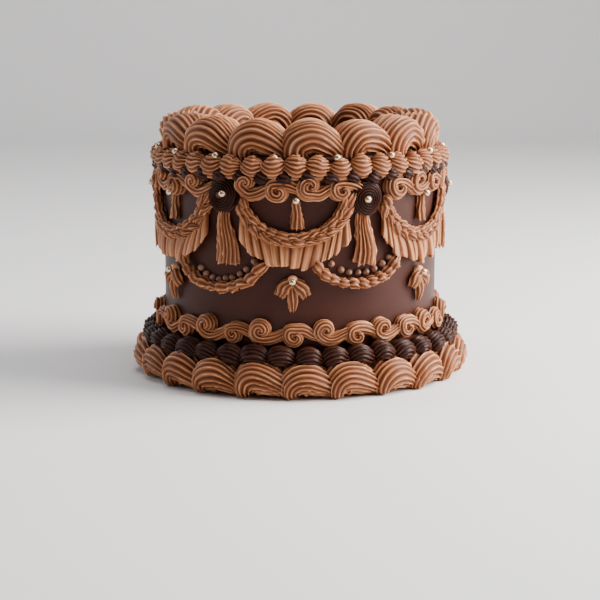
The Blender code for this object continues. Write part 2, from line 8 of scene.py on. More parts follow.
import bpy
import numpy as np
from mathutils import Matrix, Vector


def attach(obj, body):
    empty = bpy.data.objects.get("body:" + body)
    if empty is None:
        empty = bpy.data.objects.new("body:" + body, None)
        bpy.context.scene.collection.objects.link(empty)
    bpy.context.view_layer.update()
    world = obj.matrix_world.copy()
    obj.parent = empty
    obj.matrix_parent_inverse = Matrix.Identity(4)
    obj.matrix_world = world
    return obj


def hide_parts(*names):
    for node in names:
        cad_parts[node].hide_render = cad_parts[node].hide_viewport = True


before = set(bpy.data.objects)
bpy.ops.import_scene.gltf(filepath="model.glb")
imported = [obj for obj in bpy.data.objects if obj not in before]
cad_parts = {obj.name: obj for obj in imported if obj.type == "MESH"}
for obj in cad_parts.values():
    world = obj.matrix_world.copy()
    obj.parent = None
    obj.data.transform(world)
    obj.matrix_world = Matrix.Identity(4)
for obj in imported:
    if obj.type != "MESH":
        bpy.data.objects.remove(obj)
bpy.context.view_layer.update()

MM = 0.001
draw = np.random.default_rng(11)   # seeded, for the small differences between pieces

# Camera, fitted to the photograph: its distance, height, tilt and lens
CAMERA_DISTANCE = 1081.29
CAMERA_HEIGHT = 233.76
CAMERA_PITCH = 10.176
CAMERA_LENS = 109.205

# Stage: half its width, the bend from floor to backdrop, and its height
STAGE_HALF = 3500.0
STAGE_BEND = 500.0
STAGE_HEIGHT = 3500.0

# Body, its rounded rim, and the radius at which lengths along the piping turn into angles
BODY_RADIUS = 80.8
BODY_HEIGHT = 134.0
BODY_RIM = 1.6
WALL_SKIN = 80.9           # where the backs of rosettes and ruffles lie, just off the wall
PIPING_RADIUS = 84.0

# Rings: count, angle of one piece near the front, and height of the row's middle
SWIRL_COUNT = 15
SWIRL_PHASE = 4.4
SWIRL_ARCH = (             # along, up, radius, half size out and half size up, from head to tail
    (-7.6, -4.4, 68.2, 13.2, 9.2), (-9.0, 0.4, 68.3, 14.4, 10.0), (-7.8, 5.0, 68.4, 15.2, 10.3),
    (-4.6, 8.2, 68.5, 15.6, 10.4), (0.0, 9.4, 68.5, 15.6, 10.4), (4.6, 8.6, 68.5, 15.2, 10.2),
    (8.8, 6.4, 68.5, 14.4, 9.6), (12.8, 3.5, 68.4, 13.0, 8.5), (17.0, 0.2, 68.2, 11.0, 7.0),
    (20.6, -3.4, 68.0, 9.0, 5.0))
RIM_COUNT = 42
RIM_PHASE = 7.0
RIM_HEIGHT = 128.2
RIM_DARK_PHASE = 3.0
RIM_DARK_HEIGHT = 122.8
SCROLL_COUNT = 30
UPPER_PHASE = 4.0
UPPER_HEIGHT = 116.1
UPPER_SIZE = 1.13
LOWER_PHASE = 9.9
LOWER_HEIGHT = 34.4
LOWER_SIZE = 1.08
SCROLL_REACH = 82.6        # radius of the scrolls' middle line
SCROLL_HEAD = (            # bearing, distance from the head's middle, half size out and half size across
    (-80.0, 0.1, 5.0, 2.6), (-20.0, 0.9, 5.7, 3.0), (40.0, 1.9, 5.8, 3.4), (94.0, 2.8, 5.5, 3.6),
    (142.0, 3.4, 5.2, 3.7), (188.0, 3.8, 4.9, 3.7), (228.0, 4.0, 4.5, 3.7))
SCROLL_TAIL = (            # along, up, half size out and half size across
    (0.8, -2.7, 4.0, 3.7), (4.6, -2.4, 3.8, 3.6), (8.4, -0.8, 3.6, 3.3), (11.8, 0.8, 3.3, 2.9))
SCROLL_CLEARANCE = 2.4     # degrees kept free round a rosette
DARK_COUNT = 37
DARK_PHASE = 3.2
DARK_HEIGHT = 21.9
FOOT_COUNT = 22
FOOT_PHASE = 0.8
FOOT_HEIGHT = 10.2
FOOT_FLOOR = 0.15          # lowest point of the foot shells

# Rosettes; the second and third, at the front, sit a little off their even places
ROSETTE_ANGLES = (-91.0, -31.0, 26.0, 86.0, 148.0, 209.0)
ROSETTE_HEIGHTS = (111.3, 112.4, 110.4, 111.3, 111.3, 111.3)
ROSETTE_HALF = 10.9
ROSETTE_TURNS = 7.6
ROSETTE_RISE = 7.7
LOOPED_ROSETTES = (2, 3, 5, 6)

# What hangs from the rosettes: tassels, swags and the loops under the swags' ends
TASSEL_TOP = 105.5
TASSEL_LENGTH = 30.4
TASSEL_SHIFTS = (0.0, 0.6, -0.8, 0.0, 0.0, 0.0)
SWAG_TOP = 113.0
SWAG_LOWS = (86.6, 87.6, 86.6, 86.6, 86.6, 86.6)
SWAG_MARGIN = 7.5
SWAG_PLEATS = 13
SWAG_SHELLS = 13
RUFFLE_TOP = 104.5         # the ruffle starts no higher than this
RUFFLE_DROP = 14.0         # from the rope's lowest point to the hem
SMALL_SHELL = (            # along in steps, then across, half size out and half size across in sizes
    (-0.62, -0.15, 0.8, 0.62), (-0.44, 0.05, 1.35, 1.05), (-0.08, 0.12, 1.55, 1.14),
    (0.32, 0.02, 1.20, 0.92), (0.70, -0.08, 0.7, 0.52))
LOOP_TOP = 78.5
LOOP_SHELLS = 10
DOT_SPREAD = 12.7          # degrees from the middle of a row of dots to its end

# Drops and fleurs, in the middle between two rosettes
DROP_SHIFT = 1.0
DROP_TOP = 110.0
DROP_LENGTH = 14.2
FLEUR_SHIFT = -0.3
FLEUR_HEIGHT = 64.6

# Pearls
PEARL = 2.05
SWIRL_PEARL_PHASE = 13.9
ROSETTE_PEARL_HEIGHTS = (111.3, 113.4, 110.6, 111.3, 111.3, 111.3)
ROSETTE_PEARL_SHIFTS = (0.5, 1.8, -0.9, 0.5, 0.5, 0.5)


def wall(angle, radius, height):
    """Points at angles from the front, radii from the axis and heights."""
    turn = np.radians(angle)
    return np.stack([radius * np.sin(turn), -radius * np.cos(turn), height + 0.0 * turn], axis=-1)


def unit(vectors):
    """Vectors scaled to a length of one."""
    return vectors / np.maximum(np.linalg.norm(vectors, axis=-1, keepdims=True), 1e-9)


def smooth(knots, count):
    """Even steps along a Catmull-Rom curve; the columns of a knot are blended alike."""
    knots = np.asarray(knots, float)
    padded = np.vstack([2 * knots[0] - knots[1], knots, 2 * knots[-1] - knots[-2]])
    where = np.linspace(0.0, len(knots) - 1.0, count)
    index = np.minimum(where.astype(int), len(knots) - 2)
    t = (where - index)[:, None]
    a, b, c, d = (padded[index + shift] for shift in range(4))
    return 0.5 * (2 * b + (c - a) * t + (2 * a - 5 * b + 4 * c - d) * t ** 2
                  + (3 * b - 3 * c + d - a) * t ** 3)


class Heap:
    """Vertices, faces, and a groove depth and a tone for each vertex, gathered into one mesh. The groove
    depth sets painted highlight on crests and painted shade in valleys.
    """

    def __init__(self):
        self.verts = []
        self.quads = []
        self.tris = []
        self.grooves = []
        self.tones = []
        self.size = 0

    def add(self, verts, quads, tris, grooves):
        """One more closed skin, with one random tone of its own."""
        self.verts.append(verts)
        self.quads.append(np.asarray(quads, int).reshape(-1, 4) + self.size)
        self.tris.append(np.asarray(tris, int).reshape(-1, 3) + self.size)
        self.grooves.append(grooves)
        self.tones.append(np.full(len(verts), draw.uniform(0.0, 1.0)))
        self.size += len(verts)

    def build(self, name, material, nodes):
        """Mesh object on the cake's body, in the place of CAD nodes."""
        quads = np.vstack(self.quads)
        tris = np.vstack(self.tris)
        data = bpy.data.meshes.new(name)
        data.vertices.add(self.size)
        data.vertices.foreach_set("co", (np.vstack(self.verts) * MM).ravel())
        corners = np.concatenate([quads.ravel(), tris.ravel()])
        sizes = np.concatenate([np.full(len(quads), 4), np.full(len(tris), 3)])
        data.loops.add(len(corners))
        data.loops.foreach_set("vertex_index", corners.astype(np.int32))
        data.polygons.add(len(sizes))
        data.polygons.foreach_set("loop_start", (np.cumsum(sizes) - sizes).astype(np.int32))
        data.polygons.foreach_set("use_smooth", np.ones(len(sizes), bool))
        data.update(calc_edges=True)
        # groove: where painted shade and painted highlight go; tone: random tone of each piece
        for label, values in (("groove", self.grooves), ("tone", self.tones)):
            layer = data.attributes.new(label, "FLOAT", "POINT")
            layer.data.foreach_set("value", np.concatenate(values).astype(np.float32))
        data.validate()
        data.materials.append(material)
        piece = bpy.data.objects.new(name, data)
        bpy.context.scene.collection.objects.link(piece)
        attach(piece, "root")
        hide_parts(*nodes)


def section(ridges, per_ridge, start, stop, aspect, power):
    """Nozzle outline from one angle to another, evenly spaced, with its groove at each point."""
    dense = np.radians(np.linspace(start, stop, 721))
    reach = (np.abs(np.cos(dense)) ** power + np.abs(np.sin(dense)) ** power) ** (-1.0 / power)
    out = reach * np.cos(dense)
    up = reach * np.sin(dense)
    step = np.hypot(np.diff(out * aspect), np.diff(up))
    length = np.concatenate([[0.0], np.cumsum(step)])
    count = (ridges - 1) * per_ridge + 1
    where = np.linspace(0.0, length[-1], count)
    ridge = np.linspace(0.0, ridges - 1.0, count)
    return np.interp(where, length, out), np.interp(where, length, up), ridge


def rounded(way, share):
    """Size of a stroke near its rounded end, from nearly nothing to full, by the way from that end."""
    near = np.clip(1.0 - way / share, 0.0, 1.0)
    return np.sqrt(np.maximum(1.0 - near ** 2, 0.0)) * 0.985 + 0.015


def stroke(heap, knots, angle, height, ridges, groove, arc, steps, per_ridge=5, power=2.0, start_round=0.3,
           end_round=0.0, tips=0.0, swirl=0.0, sharp=0.7, scale=1.0, mirror=1.0, floor=None, wander=0.16):
    """Piped stroke on the wall with fluted sides.

    Each knot is (along, up, radius, half_out, half_up), along and up from the stroke's
    own place. The grooves are deepest between the ridges. Swirl turns the ridges round
    the stroke on its way, wander lets them drift, and tips draws out their ragged ends.
    """
    table = smooth(knots, steps)
    along, up, radius, half_out, half_up = table.T
    turn = angle + np.degrees(along * scale / radius)
    path = wall(turn, radius, height + up * scale * mirror)
    tangent = unit(np.gradient(path, axis=0))
    outwards = wall(turn, 1.0, 0.0)
    side = unit(outwards - (outwards * tangent).sum(1, keepdims=True) * tangent)
    rise = np.cross(side, tangent) * mirror
    t = np.linspace(0.0, 1.0, steps)
    cap = np.ones(steps)
    if start_round:
        cap *= rounded(t, start_round)
    if end_round:
        cap *= rounded(1.0 - t, end_round)
    aspect = float(np.mean(half_out) / np.mean(half_up))
    out, lift, ridge = section(ridges, per_ridge, arc[0], arc[1], aspect, power)
    way = t[:, None] * draw.uniform(0.6, 1.4) + ridge[None, :] * 0.11 + draw.uniform(0, 1)
    phase = ridge[None, :] + swirl * t[:, None] + wander * np.sin(2 * np.pi * way)
    valley = np.abs(np.sin(np.pi * phase)) ** sharp
    uneven = draw.uniform(0.62, 1.25, ridges + 2)
    wave = 1.0 + 0.14 * np.sin(2 * np.pi * (t[:, None] * draw.uniform(0.8, 1.8) + draw.uniform(0, 1)))
    cut = groove * valley * uneven[np.floor(ridge).astype(int)][None, :] * wave
    sx = (half_out * cap * scale)[:, None] * out[None, :]
    sy = (half_up * cap * scale)[:, None] * lift[None, :]
    span = np.maximum(np.hypot(sx, sy), 1e-6)
    keep = 1.0 - np.minimum(cut * np.minimum(1.0, cap)[:, None] / span, 0.60)
    points = (path[:, None, :] + side[:, None, :] * (sx * keep)[..., None]
              + rise[:, None, :] * (sy * keep)[..., None])
    if tips:
        ragged = draw.uniform(0.35, 1.35, ridges + 2)[np.floor(ridge + 0.5).astype(int)][None, :]
        last = np.clip((t - 0.84) / 0.16, 0.0, 1.0)[:, None] * (1.0 - valley) * tips * ragged
        points += tangent[:, None, :] * last[..., None]
    if floor is not None:
        points[..., 2] = np.maximum(points[..., 2], floor)
    # Valley mask, faded near the rounded ends, for painted shade in the valleys and painted highlight on the
    # crests
    sheet(heap, points, valley * np.minimum(1.0, cap * 1.5)[:, None], flip=mirror < 0)


def sheet(heap, points, grooves, flip=False):
    """Closed skin over rings of points, each ring closed and both ends capped."""
    rings, count, _ = points.shape
    grid = np.arange(rings * count).reshape(rings, count)
    right = np.roll(grid, -1, axis=1)
    quads = np.stack([grid[:-1], right[:-1], right[1:], grid[1:]], axis=-1).reshape(-1, 4)
    first = rings * count
    last = first + 1
    caps = []
    for column in range(count):
        after = (column + 1) % count
        caps.append((first, grid[0, after], grid[0, column]))
        caps.append((last, grid[-1, column], grid[-1, after]))
    caps = np.array(caps)
    if flip:
        quads = quads[:, ::-1]
        caps = caps[:, ::-1]
    verts = np.vstack([points.reshape(-1, 3), points[0].mean(0), points[-1].mean(0)])
    # The two cap centres get a groove value of 0.6, a painted mid shade
    heap.add(verts, quads, caps, np.concatenate([grooves.ravel(), [0.6, 0.6]]))


def ball(heap, centre, outwards, size, rings=14, sides=22, point=0.0):
    """Round bead, drawn out a little to a point on its outer side."""
    theta = np.linspace(0.02, np.pi - 0.02, rings)
    phi = np.linspace(0.0, 2 * np.pi, sides, endpoint=False)
    out = unit(np.asarray(outwards, float))
    across = unit(np.cross((0.0, 0.0, 1.0), out))
    rise = np.cross(out, across)
    axial = np.cos(theta) + point * np.maximum(np.cos(theta), 0.0) ** 6
    points = (out * axial[:, None, None]
              + across * (np.sin(theta)[:, None] * np.cos(phi))[..., None]
              + rise * (np.sin(theta)[:, None] * np.sin(phi))[..., None]) * size + centre
    sheet(heap, points, np.zeros((rings, sides)))


def around(count, phase, spread):
    """Angles of a ring of pieces, each a little out of its even place."""
    return [phase + 360.0 * index / count + draw.uniform(-spread, spread) for index in range(count)]


def node_tree(name):
    """New material with its tree and its main shader."""
    material = bpy.data.materials.new(name)
    material.use_nodes = True
    tree = material.node_tree
    return material, tree, tree.nodes["Principled BSDF"]


def link(tree, source, output, target, entry):
    """Joins an output to an input, both by name."""
    tree.links.new(source.outputs[output], target.inputs[entry])


def set_inputs(node, **values):
    """Constants on a node's inputs, with _ for a space in an input's name."""
    for name, value in values.items():
        node.inputs[name.replace("_", " ")].default_value = value


def noise(tree, scale, detail=4.0, rough=0.55):
    """Noise in the object's own space, at a scale in features per metre."""
    place = tree.nodes.new("ShaderNodeTexCoord")
    texture = tree.nodes.new("ShaderNodeTexNoise")
    set_inputs(texture, Scale=scale, Detail=detail, Roughness=rough)
    link(tree, place, "Object", texture, "Vector")
    return texture


def ramp(tree, source, stops):
    """Colour output of a ramp with (place, colour) stops, driven by a node."""
    node = tree.nodes.new("ShaderNodeValToRGB")
    band = node.color_ramp
    while len(band.elements) < len(stops):
        band.elements.new(0.5)
    for element, (where, colour) in zip(band.elements, stops):
        element.position = where
        element.color = (*colour, 1.0)
    link(tree, source, "Fac", node, "Fac")
    return node.outputs["Color"]


def multiply(tree, first, second):
    """Product of two colour outputs."""
    node = tree.nodes.new("ShaderNodeMix")
    node.data_type = "RGBA"
    node.blend_type = "MULTIPLY"
    set_inputs(node, Factor=1.0)
    tree.links.new(first, node.inputs[6])
    tree.links.new(second, node.inputs[7])
    return node.outputs[2]


def attribute(tree, name):
    """A point attribute of the mesh, as a node."""
    node = tree.nodes.new("ShaderNodeAttribute")
    node.attribute_name = name
    return node


def vary_roughness(tree, shader, texture, low, high):
    """Roughness that follows a texture from low to high."""
    rough = tree.nodes.new("ShaderNodeMapRange")
    set_inputs(rough, To_Min=low, To_Max=high)
    link(tree, texture, "Fac", rough, "Value")
    link(tree, rough, "Result", shader, "Roughness")


def bumps(tree, shader, layers):
    """Chain of bump nodes from (texture, distance in metres, strength)."""
    normal = None
    for texture, distance, strength in layers:
        bump = tree.nodes.new("ShaderNodeBump")
        set_inputs(bump, Distance=distance, Strength=strength)
        link(tree, texture, "Fac", bump, "Height")
        if normal:
            link(tree, normal, "Normal", bump, "Normal")
        normal = bump
    link(tree, normal, "Normal", shader, "Normal")


def buttercream(name, crest_highlight, middle, valley, roughness, coat, scatter, gloss):
    """Piped buttercream: painted highlight on the crests and painted shade in the valleys between ridges,
    from the groove attribute; soft patches, streaks and fine grain.
    """
    material, tree, shader = node_tree(name)
    # Colour by groove value: the colour at the crests is a painted highlight, the middle colour is the
    # cream's own, the valley colour is painted shade
    depth = ramp(tree, attribute(tree, "groove"), ((0.0, crest_highlight), (0.40, middle), (1.0, valley)))
    patches = ramp(tree, noise(tree, 90.0, 3.0), ((0.3, (0.88, 0.87, 0.86)), (0.7, (1.08, 1.08, 1.09))))
    own = ramp(tree, attribute(tree, "tone"), ((0.0, (0.93, 0.92, 0.91)), (1.0, (1.06, 1.06, 1.07))))
    colour = multiply(tree, multiply(tree, depth, patches), own)
    tree.links.new(colour, shader.inputs["Base Color"])
    set_inputs(shader, Subsurface_Weight=scatter, Subsurface_Radius=(1.0, 0.45, 0.25),
               Subsurface_Scale=0.0012, Coat_Weight=coat, Coat_Roughness=0.22, Specular_IOR_Level=gloss)
    grain = noise(tree, 2600.0, 5.0, 0.6)
    streaks = noise(tree, 520.0, 3.0, 0.5)
    vary_roughness(tree, shader, streaks, roughness - 0.08, roughness + 0.10)
    bumps(tree, shader, ((streaks, 0.00025, 0.5), (grain, 0.00008, 0.6)))
    return material


def body_cream():
    """Smooth dark buttercream, with faint level scraper lines and soft mottling."""
    material, tree, shader = node_tree("body_cream")
    patches = noise(tree, 38.0, 4.0)
    colour = ramp(tree, patches, ((0.3, (0.040, 0.0108, 0.0066)), (0.7, (0.054, 0.0146, 0.0090))))
    tree.links.new(colour, shader.inputs["Base Color"])
    place = tree.nodes.new("ShaderNodeTexCoord")
    squash = tree.nodes.new("ShaderNodeMapping")
    set_inputs(squash, Scale=(0.06, 0.06, 1.0))
    link(tree, place, "Object", squash, "Vector")
    lines = tree.nodes.new("ShaderNodeTexNoise")
    set_inputs(lines, Scale=900.0, Detail=3.0)
    link(tree, squash, "Vector", lines, "Vector")
    vary_roughness(tree, shader, patches, 0.40, 0.56)
    set_inputs(shader, Sheen_Weight=0.05, Sheen_Roughness=0.4, Sheen_Tint=(0.85, 0.60, 0.52, 1.0),
               Specular_IOR_Level=0.16)
    grain = noise(tree, 1500.0, 5.0, 0.6)
    bumps(tree, shader, ((patches, 0.0008, 0.25), (lines, 0.00012, 0.35), (grain, 0.00006, 0.5)))
    return material


def pearl_coat():
    """Pale gold pearlised sugar."""
    material, tree, shader = node_tree("pearl_gold")
    patches = noise(tree, 240.0, 2.0)
    colour = ramp(tree, patches, ((0.3, (0.58, 0.41, 0.25)), (0.7, (0.74, 0.57, 0.39))))
    tree.links.new(colour, shader.inputs["Base Color"])
    set_inputs(shader, Metallic=0.85, Roughness=0.24, Coat_Weight=0.4, Coat_Roughness=0.12)
    bumps(tree, shader, ((patches, 0.00002, 0.06),))
    return material


def make_body(materials):
    """Smooth turned body with a softly rounded rim."""
    bend = np.linspace(0.0, math.pi / 2, 7)
    top = [0.02, 20.0, 40.0, 60.0, 74.0]
    below = [60.0, 30.0, 0.02]
    levels = 40
    sides = 240
    radius = np.concatenate([top, BODY_RADIUS - BODY_RIM + BODY_RIM * np.sin(bend),
                             np.full(levels, BODY_RADIUS), below])
    height = np.concatenate([np.full(len(top), BODY_HEIGHT), BODY_HEIGHT - BODY_RIM + BODY_RIM * np.cos(bend),
                             np.linspace(BODY_HEIGHT - BODY_RIM - 1.0, 0.0, levels), np.zeros(len(below))])
    angle = np.linspace(0.0, 360.0, sides, endpoint=False)
    wobble = 0.10 * np.sin(np.radians(angle * 3 + 40))[None, :] * np.sin(height / 19.0)[:, None]
    wobble = wobble * (radius > max(top))[:, None]
    points = wall(angle[None, :] + 0.0 * radius[:, None], radius[:, None] + wobble, height[:, None])
    heap = Heap()
    sheet(heap, points[::-1], np.zeros(points.shape[:2]))
    heap.build("body", materials["body"], ["cake_body"])


def make_top_swirls(materials):
    """Fat arched strokes laid nose to tail, each tail under the next head."""
    heap = Heap()
    for angle in around(SWIRL_COUNT, SWIRL_PHASE, 1.0):
        lift = draw.uniform(-0.9, 0.4)
        reach = draw.uniform(0.95, 1.02)
        knots = []
        for along, up, radius, half_out, half_up in SWIRL_ARCH:
            unsteady = draw.uniform(-0.4, 0.3)
            knots.append((along * 0.92 * reach, 1.2 + lift + (up + unsteady) * reach,
                          radius, half_out, half_up))
        stroke(heap, knots, angle, BODY_HEIGHT, ridges=23, groove=2.1, arc=(-126.0, 222.0), steps=44,
               power=2.25, start_round=0.0, sharp=0.75, swirl=draw.uniform(-0.8, 0.8), wander=0.2)
    heap.build("top_swirl_strokes", materials["light"], ["top_swirls"])


def make_rim_shells(materials):
    """Row of milk shells under the swirls, and the small dark shells that peep out below it."""
    light = Heap()
    for angle in around(RIM_COUNT, RIM_PHASE, 0.4):
        size = draw.uniform(0.92, 1.05)
        tilt = draw.uniform(-0.6, 0.6)
        knots = ((-5.7, 2.2, 81.2, 3.2, 4.0), (-4.6, 1.5 + tilt, 81.9, 5.4, 6.0),
                 (-2.0, 0.5 + tilt, 82.3, 6.8, 7.5), (0.8, -0.2, 82.3, 6.8, 7.7),
                 (3.4, 0.2, 81.9, 5.6, 6.2), (5.8, 0.8 - tilt, 81.2, 3.6, 4.2))
        stroke(light, knots, angle, RIM_HEIGHT + draw.uniform(-0.6, 0.6), ridges=11, groove=1.45,
               arc=(-112.0, 122.0), steps=18, end_round=0.10, scale=size, tips=1.0, sharp=0.75,
               swirl=draw.uniform(-0.7, 0.3))
    light.build("rim_shell_strokes", materials["light"], ["rim_shells"])
    dark = Heap()
    knots = ((-3.2, 2.6, 82.6, 3.4, 3.0), (-1.8, 1.2, 83.2, 4.9, 4.8), (0.6, 0.2, 83.3, 5.0, 5.0),
             (3.0, -1.2, 82.8, 3.8, 3.4))
    for angle in around(RIM_COUNT, RIM_DARK_PHASE, 0.5):
        stroke(dark, knots, angle, RIM_DARK_HEIGHT + draw.uniform(-0.5, 0.5), ridges=8, groove=1.1,
               arc=(-105.0, 110.0), steps=12, tips=1.2)
    dark.build("rim_dark_strokes", materials["dark"], ["rim_dark_shells"])


def scroll(heap, phase, height, size, spread, rooms=()):
    """Curls that turn up and down in turn, each a filled spiral with its tail under the next.

    Rooms are the angles of rosettes, where no curl is piped.
    """
    tail_end = 2 * math.pi * 83.0 / SCROLL_COUNT - 1.2
    for index, angle in enumerate(around(SCROLL_COUNT, phase, spread)):
        if any(abs((angle - room + 180.0) % 360.0 - 180.0) < SCROLL_CLEARANCE for room in rooms):
            continue
        up_turned = index % 2 == 0
        mirror = 1.0 if up_turned else -1.0
        swell = draw.uniform(0.92, 1.08) * (1.0 if up_turned else 0.96)
        squeeze = draw.uniform(0.92, 1.04)
        rise = (2.0 if up_turned else 0.4) + draw.uniform(-0.5, 0.5)
        twist = draw.uniform(-14.0, 14.0)
        knots = []
        for bearing, arch, out, half in SCROLL_HEAD:
            turn = math.radians(bearing + twist + draw.uniform(-4.0, 4.0))
            knots.append((arch * swell * math.cos(turn), rise + arch * swell * math.sin(turn),
                          SCROLL_REACH, out, half * swell))
        for along, up, out, half in SCROLL_TAIL + ((tail_end, 1.6, 2.8, 2.4),):
            knots.append((along * squeeze, up + draw.uniform(-0.3, 0.3), SCROLL_REACH, out, half))
        stroke(heap, knots, angle, height + draw.uniform(-0.5, 0.5), ridges=8, groove=1.6,
               arc=(-106.0, 106.0), steps=40, start_round=0.04, end_round=0.04, sharp=0.75,
               scale=size * draw.uniform(0.96, 1.05), mirror=mirror, swirl=draw.uniform(-0.4, 0.4), tips=0.8)


def make_scrolls(materials):
    """Upper row of curls, cleared round the rosettes, and lower row."""
    upper = Heap()
    scroll(upper, UPPER_PHASE, UPPER_HEIGHT, UPPER_SIZE, 0.5, ROSETTE_ANGLES)
    upper.build("upper_scroll_strokes", materials["light"], ["upper_scroll"])
    lower = Heap()
    scroll(lower, LOWER_PHASE, LOWER_HEIGHT, LOWER_SIZE, 0.6)
    lower.build("lower_scroll_strokes", materials["light"], ["lower_scroll"])


def make_foot(materials):
    """Row of dark shells, and the fat milk shells round the foot of the cake."""
    dark = Heap()
    for angle in around(DARK_COUNT, DARK_PHASE, 0.6):
        tilt = draw.uniform(-0.7, 0.7)
        knots = ((-5.6, -3.0, 85.8, 4.0, 3.2), (-5.0, -0.2 + tilt, 87.2, 6.4, 5.0),
                 (-2.2, 1.4 + tilt, 88.2, 7.6, 6.6), (1.4, 1.0, 88.2, 7.2, 6.4),
                 (4.8, -0.9, 87.4, 5.8, 5.0), (8.2, -2.8, 86.4, 4.0, 3.2))
        stroke(dark, knots, angle, DARK_HEIGHT + draw.uniform(-0.5, 0.5), ridges=12, groove=1.35,
               arc=(-100.0, 130.0), steps=16, end_round=0.1, sharp=0.72,
               scale=draw.uniform(0.93, 1.05), tips=1.0, swirl=draw.uniform(-0.6, 0.3))
    dark.build("dark_shell_strokes", materials["dark"], ["dark_shells"])
    light = Heap()
    for angle in around(FOOT_COUNT, FOOT_PHASE, 0.6):
        size = draw.uniform(0.96, 1.02)
        bend = draw.uniform(-0.7, 0.7)
        knots = ((-5.6, -9.6, 86.4, 9.2, 5.4), (-6.2, -5.6, 87.3, 11.6, 7.6),
                 (-4.6, -1.4 + bend, 87.8, 13.2, 9.8), (-0.8, 1.0 + bend, 88.0, 13.5, 11.2),
                 (4.2, 0.9, 87.9, 13.1, 10.8), (8.8, -0.9, 87.6, 12.1, 9.4),
                 (12.8, -3.0, 87.2, 10.6, 7.6), (15.6, -4.8, 86.6, 9.0, 6.0))
        stroke(light, knots, angle, FOOT_HEIGHT, ridges=17, groove=2.3, arc=(-104.0, 150.0), steps=30,
               start_round=0.10, end_round=0.03, scale=size, tips=1.7, sharp=0.75,
               swirl=draw.uniform(-0.8, 0.4), floor=FOOT_FLOOR, wander=0.2)
    light.build("foot_shell_strokes", materials["light"], ["foot_shells"])


def make_rosettes(materials):
    """Domes piped in a fine spiral that winds in to the middle."""
    rings, sides = 52, 120
    share = np.linspace(0.0, 1.0, rings)[:, None]
    turn = np.linspace(0.0, 2 * np.pi, sides, endpoint=False)[None, :]
    reach = share ** 0.85
    fade = np.clip((share - 0.04) / 0.1, 0.0, 1.0)
    lean = np.sqrt(np.clip(1.0 - reach ** 2.3, 0.0, 1.0))
    for number, (angle, height) in enumerate(zip(ROSETTE_ANGLES, ROSETTE_HEIGHTS), 1):
        heap = Heap()
        phase = ROSETTE_TURNS * reach - 2.0 * turn / (2 * np.pi) + draw.uniform(0, 1)
        valley = np.abs(np.sin(np.pi * phase)) ** 0.62
        cut = 1.25 * valley * fade
        edge = ROSETTE_HALF * (1.0 + 0.03 * np.sin(turn + draw.uniform(0, 6)) + 0.02 * np.sin(3 * turn))
        tilt = 0.6 * reach * np.cos(turn - draw.uniform(0, 6))
        across = edge * reach * (0.96 + 0.04 * lean) - cut * (1.0 - lean)
        out = 81.0 + ROSETTE_RISE * lean - cut * lean + tilt * lean
        at = angle + np.degrees(across * np.cos(turn) / PIPING_RADIUS)
        z = height + across * np.sin(turn) * 1.06
        base = wall(at[-1:], np.full_like(out[-1:], WALL_SKIN), z[-1:])
        points = np.concatenate([wall(at, out, z), base])
        # Spiral valleys get painted shade and the crests painted highlight, through the groove attribute
        sheet(heap, points, np.concatenate([valley * fade, valley[-1:]]))
        heap.build(f"rosette_spiral_{number}", materials["dark"], [f"rosette_{number}"])


def hanging(heap, angle, top, length, halves, ridges, groove, depth, tips, lean=0.0, radius=82.0,
            steps=20, bulge=0.0, sway=0.0, start=0.10, curve=0.0):
    """Fluted drop down the wall, or along it where it leans, with its half widths on the way."""
    knots = []
    tilt = math.radians(lean)
    for share, width in zip(np.linspace(0.0, 1.0, len(halves)), halves):
        reach = length * share
        slip = sway * math.sin(2.0 * math.pi * share)
        bend = tilt * (1.0 - curve * share)
        knots.append((math.sin(bend) * reach + slip, -math.cos(bend) * reach,
                      radius + bulge * math.sin(math.pi * share), width * depth + 0.6, width))
    stroke(heap, knots, angle, top, ridges=ridges, groove=groove, arc=(-102.0, 102.0), steps=steps,
           per_ridge=7, start_round=start, tips=tips, power=2.3, sharp=0.62,
           swirl=draw.uniform(-0.15, 0.15))


def make_tassels(materials):
    """A fluted tassel under each rosette."""
    halves = (3.8, 4.5, 5.4, 6.4, 7.4, 7.9)
    for number, (angle, shift) in enumerate(zip(ROSETTE_ANGLES, TASSEL_SHIFTS), 1):
        heap = Heap()
        hanging(heap, angle + shift, TASSEL_TOP, TASSEL_LENGTH, halves, 8, 1.9, depth=0.56,
                lean=draw.uniform(-4, 4), bulge=1.0, sway=draw.uniform(0.5, 1.0) * draw.choice((-1, 1)),
                tips=2.2, steps=26)
        heap.build(f"tassel_strokes_{number}", materials["light"], [f"tassel_{number}"])


def spans():
    """For each rosette: its angle, the middle up to the next one, and half the way to it."""
    for index, angle in enumerate(ROSETTE_ANGLES):
        after = ROSETTE_ANGLES[(index + 1) % len(ROSETTE_ANGLES)]
        half = (after - angle) % 360.0 / 2
        yield angle, angle + half, half


def swag_curve(half_span, low):
    """Rope from one rosette to the next: a function of share, and the reach of its ends."""
    reach = half_span - SWAG_MARGIN

    def place(share):
        offset = reach * np.sin(share * math.pi / 2 * 0.93)
        return offset, SWAG_TOP - (SWAG_TOP - low) * np.sqrt(1.0 - (offset / reach) ** 2)
    return place, reach


